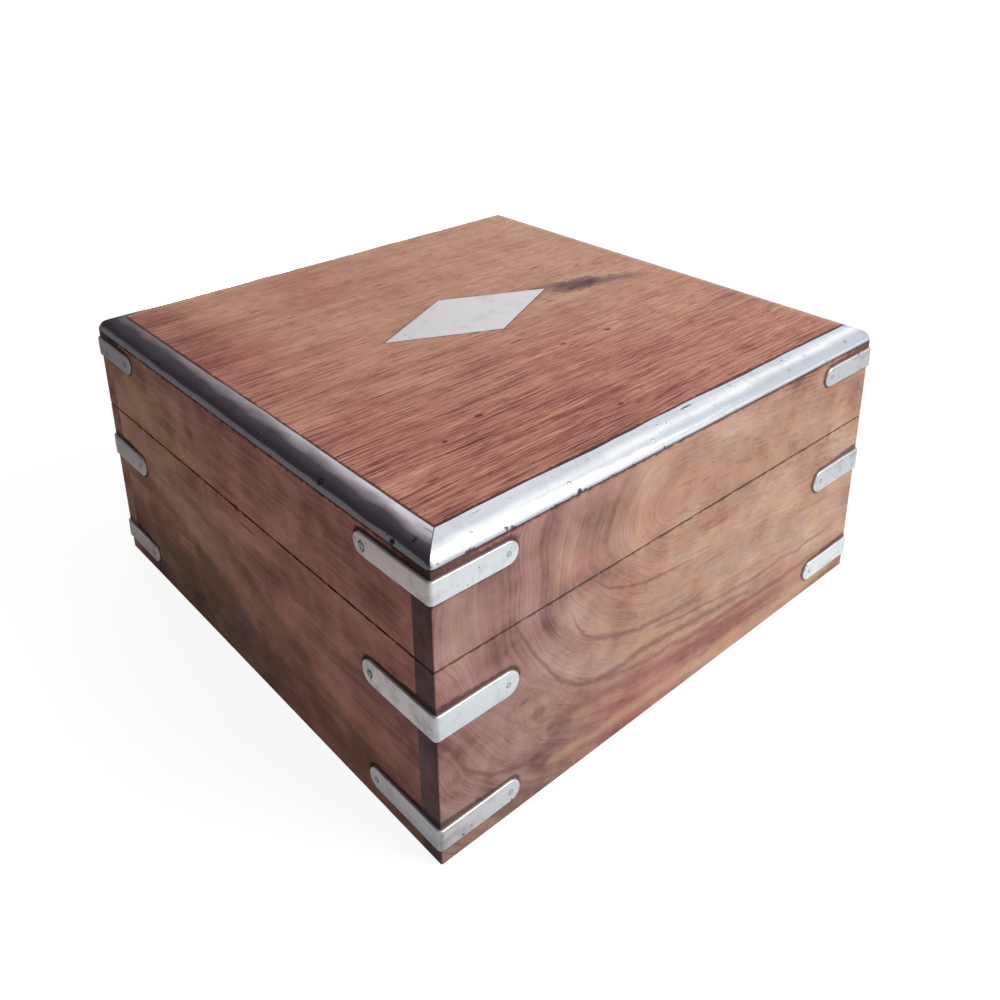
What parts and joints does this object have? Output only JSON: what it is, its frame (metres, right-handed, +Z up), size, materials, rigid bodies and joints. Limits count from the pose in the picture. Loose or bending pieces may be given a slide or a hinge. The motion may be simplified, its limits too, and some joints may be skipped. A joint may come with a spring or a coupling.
{
  "type": "silverware chest",
  "caption": "Square hardwood chest with a hinged lid, rounded metal edging on the lid, bent metal corner straps, a rhombus inlay and lined racks for flatware.",
  "frame": {"origin": "middle of the flat underside", "axes": "+X along the front from left to right, -Y out of the front, +Z up; the lid is hinged along the back at +Y"},
  "size_m": [0.3026, 0.3085, 0.1512],
  "materials": {
    "rosewood": "worn satin lacquer over a warm reddish brown figured hardwood",
    "edging_metal": "polished white metal, dented and stained",
    "strap_metal": "worn satin white metal with grime along its edges",
    "pin_metal": "filed flush, dull",
    "hinge_metal": "aged brass",
    "screw_metal": "aged brass",
    "velvet_lining": "maroon short-pile cloth",
    "covered_rack": "wood covered in the same maroon cloth"
  },
  "bodies": {
    "base": {"base_front": "rosewood", "base_back": "rosewood", "base_left": "rosewood", "base_right": "rosewood", "base_bottom": "rosewood", "base_floor_lining": "velvet_lining", "base_front_lining": "velvet_lining", "base_back_lining": "velvet_lining", "base_left_lining": "velvet_lining", "base_right_lining": "velvet_lining", "rack_front": "covered_rack", "rack_back": "covered_rack", "serving_divider": "covered_rack", "strap_upper_front_left": "strap_metal", "strap_upper_front_right": "strap_metal", "strap_upper_back_left": "strap_metal", "strap_upper_back_right": "strap_metal", "strap_lower_front_left": "strap_metal", "strap_lower_front_right": "strap_metal", "strap_lower_back_left": "strap_metal", "strap_lower_back_right": "strap_metal", "base_strap_pins": "pin_metal", "hinge_left_base_leaf": "hinge_metal", "hinge_right_base_leaf": "hinge_metal", "hinge_left_pin": "hinge_metal", "hinge_right_pin": "hinge_metal", "hinge_base_screws": "screw_metal"},
    "lid": {"lid_top": "rosewood", "lid_front": "rosewood", "lid_back": "rosewood", "lid_left": "rosewood", "lid_right": "rosewood", "edging_front": "edging_metal", "edging_back": "edging_metal", "edging_left": "edging_metal", "edging_right": "edging_metal", "edging_pins": "pin_metal", "rhombus_inlay": "strap_metal", "strap_lid_front_left": "strap_metal", "strap_lid_front_right": "strap_metal", "strap_lid_back_left": "strap_metal", "strap_lid_back_right": "strap_metal", "lid_strap_pins": "pin_metal", "hinge_left_lid_leaf": "hinge_metal", "hinge_right_lid_leaf": "hinge_metal", "hinge_lid_screws": "screw_metal", "lid_ceiling_lining": "velvet_lining", "lid_front_lining": "velvet_lining", "lid_back_lining": "velvet_lining", "lid_left_lining": "velvet_lining", "lid_right_lining": "velvet_lining", "knife_rack_blades": "covered_rack", "knife_rack_handles": "covered_rack"}
  },
  "joints": [
    {"name": "lid_hinge", "type": "hinge", "parent": "base", "child": "lid", "pos_m": [0, 0.1533, 0.0982], "axis": [-1, 0, 0], "range_deg": [0, 100]}
  ]
}
